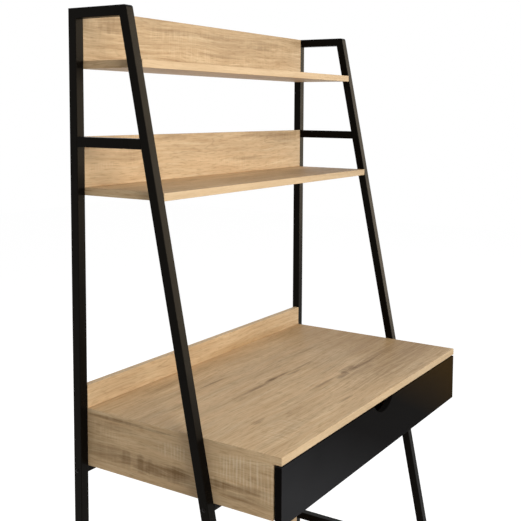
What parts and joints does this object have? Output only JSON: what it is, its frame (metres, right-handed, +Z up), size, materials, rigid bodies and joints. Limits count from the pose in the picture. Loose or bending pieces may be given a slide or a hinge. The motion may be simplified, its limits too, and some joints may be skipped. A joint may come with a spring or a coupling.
{
  "type": "ladder desk",
  "caption": "Ladder desk: oak-effect shelves, desk top and drawer box between leaning black square-tube side frames, with a black drawer on roller runners.",
  "frame": {"origin": "on the floor, at the centre of the desk's footprint box", "axes": "+X to the right of someone seated at it, +Y to the rear, +Z up; the drawer opens towards -Y"},
  "size_m": [0.902, 0.511, 1.59],
  "materials": {
    "frame_black": "satin black powder coat",
    "oak_melamine": "oak-effect melamine with matching edge band",
    "front_black": "satin black lacquered board",
    "drawer_board": "oak-effect foil on thin board",
    "drawer_hardboard": "printed hardboard",
    "runner_steel": "black epoxy-coated sheet",
    "roller_nylon": "natural nylon",
    "foot_plastic": "moulded black plastic"
  },
  "bodies": {
    "stand": {"left_rear_upright": "frame_black", "left_front_leg": "frame_black", "left_top_rail": "frame_black", "left_mid_rail": "frame_black", "left_low_rail": "frame_black", "left_rear_foot": "foot_plastic", "left_front_foot": "foot_plastic", "left_cabinet_runner": "runner_steel", "desk_left_side": "oak_melamine", "right_rear_upright": "frame_black", "right_front_leg": "frame_black", "right_top_rail": "frame_black", "right_mid_rail": "frame_black", "right_low_rail": "frame_black", "right_rear_foot": "foot_plastic", "right_front_foot": "foot_plastic", "right_cabinet_runner": "runner_steel", "desk_right_side": "oak_melamine", "rear_cross_bar": "frame_black", "front_cross_bar": "frame_black", "desk_top": "oak_melamine", "desk_floor": "oak_melamine", "desk_back": "oak_melamine", "desk_upstand": "oak_melamine", "upper_shelf": "oak_melamine", "upper_back_board": "oak_melamine", "lower_shelf": "oak_melamine", "lower_back_board": "oak_melamine", "low_rear_panel": "oak_melamine"},
    "drawer": {"drawer_front": "front_black", "drawer_left_side": "drawer_board", "drawer_right_side": "drawer_board", "drawer_back": "drawer_board", "drawer_bottom": "drawer_hardboard", "left_drawer_runner": "runner_steel", "right_drawer_runner": "runner_steel"},
    "left_front_roller_wheel": {"left_front_roller": "roller_nylon"},
    "right_front_roller_wheel": {"right_front_roller": "roller_nylon"},
    "left_rear_roller_wheel": {"left_rear_roller": "roller_nylon"},
    "right_rear_roller_wheel": {"right_rear_roller": "roller_nylon"}
  },
  "joints": [
    {"name": "drawer_slide", "type": "slide", "parent": "stand", "child": "drawer", "axis": [0, -1, 0], "range_m": [0, 0.34]},
    {"name": "left_front_roller_spin", "type": "hinge", "parent": "stand", "child": "left_front_roller_wheel", "pos_m": [-0.4092, -0.221, 0.6593], "axis": [1, 0, 0], "continuous": true},
    {"name": "right_front_roller_spin", "type": "hinge", "parent": "stand", "child": "right_front_roller_wheel", "pos_m": [0.4092, -0.221, 0.6593], "axis": [1, 0, 0], "continuous": true},
    {"name": "left_rear_roller_spin", "type": "hinge", "parent": "drawer", "child": "left_rear_roller_wheel", "pos_m": [-0.408, 0.1975, 0.6592], "axis": [1, 0, 0], "continuous": true},
    {"name": "right_rear_roller_spin", "type": "hinge", "parent": "drawer", "child": "right_rear_roller_wheel", "pos_m": [0.408, 0.1975, 0.6592], "axis": [1, 0, 0], "continuous": true}
  ],
  "couplings": [
    {"joint": "left_front_roller_spin", "follows": "drawer_slide", "rad_per_m": 117.65},
    {"joint": "right_front_roller_spin", "follows": "drawer_slide", "rad_per_m": 117.65},
    {"joint": "left_rear_roller_spin", "follows": "drawer_slide", "rad_per_m": 117.65},
    {"joint": "right_rear_roller_spin", "follows": "drawer_slide", "rad_per_m": 117.65}
  ]
}
